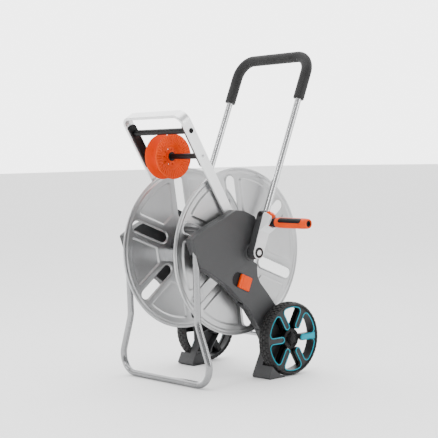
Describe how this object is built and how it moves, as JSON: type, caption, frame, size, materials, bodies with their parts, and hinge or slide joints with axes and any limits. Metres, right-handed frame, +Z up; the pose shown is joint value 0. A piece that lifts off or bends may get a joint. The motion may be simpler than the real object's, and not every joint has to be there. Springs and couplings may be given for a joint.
{
  "type": "hose reel cart",
  "caption": "Two-wheeled garden hose reel cart: cranked sheet-metal drum between moulded side housings, tube foot, strap bail with hose guide pulley and pull-out handle.",
  "frame": {"origin": "middle of the bottom of the bounding box, on the floor", "axes": "+Z up; -Y toward the front, where the foot tube and the hose guide are; +X toward the crank side, along the drum and wheel axes"},
  "size_m": [0.534, 0.4967, 0.887],
  "materials": {
    "cheek_plastic": "dark grey moulded plastic, fine grain",
    "black_plastic": "black moulded plastic",
    "flange_metal": "silver-grey satin sheet",
    "tube_metal": "satin drawn tube",
    "strap_metal": "pale satin flat strap",
    "steel": "bright zinc-plated steel",
    "foam": "black closed-cell foam",
    "tyre": "black moulded rubber-like plastic",
    "wheel_plastic": "charcoal moulded plastic",
    "teal_plastic": "teal plastic",
    "orange_plastic": "orange plastic",
    "light_plastic": "light grey plastic"
  },
  "bodies": {
    "frame": {"cheek_outer_right": "cheek_plastic", "cheek_outer_left": "cheek_plastic", "cheek_inner_right": "cheek_plastic", "cheek_inner_left": "cheek_plastic", "foot_tube": "tube_metal", "guide_bail": "strap_metal", "guide_plate_right": "black_plastic", "guide_plate_left": "black_plastic", "guide_upper_bar": "black_plastic", "guide_rod": "black_plastic", "bail_bolt_upper_right": "black_plastic", "bail_bolt_upper_left": "black_plastic", "bail_bolt_lower_right": "steel", "bail_bolt_lower_left": "steel", "bail_screw_right": "steel", "bail_screw_left": "steel", "wheel_axle": "steel", "bearing_right": "black_plastic", "bearing_left": "black_plastic", "latch_bed_right": "black_plastic", "latch_bed_left": "black_plastic"},
    "drum": {"flange_right": "flange_metal", "flange_left": "flange_metal", "drum_core": "cheek_plastic", "core_bar_1": "steel", "core_bar_2": "steel", "core_bar_3": "steel", "drum_shaft": "cheek_plastic", "hose_nipple": "black_plastic", "crank_arm": "cheek_plastic", "crank_cover": "light_plastic", "crank_hub_ring": "black_plastic", "crank_hub_cap": "light_plastic", "crank_hinge_pin": "black_plastic"},
    "crank_fold": {"hinge_block": "orange_plastic", "grip_collar": "black_plastic", "grip_spindle": "steel"},
    "crank_grip": {"grip_sleeve": "orange_plastic", "grip_inlay_top": "black_plastic", "grip_inlay_bottom": "black_plastic", "grip_end_cap": "black_plastic"},
    "handle": {"handle_tube": "tube_metal", "foam_grip": "foam"},
    "latch_right": {"latch_right": "orange_plastic"},
    "latch_left": {"latch_left": "orange_plastic"},
    "wheel_right": {"tyre_right": "tyre", "wheel_hub_right": "wheel_plastic", "wheel_accent_right": "teal_plastic", "wheel_cap_right": "black_plastic"},
    "wheel_left": {"tyre_left": "tyre", "wheel_hub_left": "wheel_plastic", "wheel_accent_left": "teal_plastic", "wheel_cap_left": "black_plastic"},
    "pulley_carrier": {"pulley_bush": "black_plastic"},
    "pulley": {"pulley_right": "orange_plastic", "pulley_left": "orange_plastic"},
    "inlet": {"inlet_elbow": "light_plastic", "inlet_connector": "orange_plastic"}
  },
  "joints": [
    {"name": "drum_turn", "type": "hinge", "parent": "frame", "child": "drum", "pos_m": [-0.073, -0.0234, 0.342], "axis": [1, 0, 0], "continuous": true},
    {"name": "crank_fold", "type": "hinge", "parent": "drum", "child": "crank_fold", "pos_m": [0.1, 0.01362, 0.43597], "axis": [0, -0.9304, 0.3665], "range_deg": [0, 90]},
    {"name": "grip_spin", "type": "hinge", "parent": "crank_fold", "child": "crank_grip", "pos_m": [0.167, 0.00775, 0.42109], "axis": [1, 0, 0], "continuous": true},
    {"name": "handle_slide", "type": "slide", "parent": "frame", "child": "handle", "axis": [0, 0.392, 0.92], "range_m": [-0.2, 0]},
    {"name": "latch_right_slide", "type": "slide", "parent": "frame", "child": "latch_right", "axis": [0, -0.92, 0.392], "range_m": [0, 0.01], "stiffness_N_per_m": 400, "springref_m": -0.01},
    {"name": "latch_left_slide", "type": "slide", "parent": "frame", "child": "latch_left", "axis": [0, -0.92, 0.392], "range_m": [0, 0.01], "stiffness_N_per_m": 400, "springref_m": -0.01},
    {"name": "wheel_right_turn", "type": "hinge", "parent": "frame", "child": "wheel_right", "pos_m": [0.098, 0.0969, 0.1001], "axis": [1, 0, 0], "continuous": true},
    {"name": "wheel_left_turn", "type": "hinge", "parent": "frame", "child": "wheel_left", "pos_m": [-0.244, 0.0969, 0.1001], "axis": [1, 0, 0], "continuous": true},
    {"name": "pulley_slide", "type": "slide", "parent": "frame", "child": "pulley_carrier", "axis": [1, 0, 0], "range_m": [-0.06, 0.095]},
    {"name": "pulley_turn", "type": "hinge", "parent": "pulley_carrier", "child": "pulley", "pos_m": [-0.0908, -0.1574, 0.5998], "axis": [1, 0, 0], "continuous": true},
    {"name": "inlet_swivel", "type": "hinge", "parent": "frame", "child": "inlet", "pos_m": [-0.073, -0.0234, 0.342], "axis": [1, 0, 0], "range_deg": [-90, 90]}
  ]
}
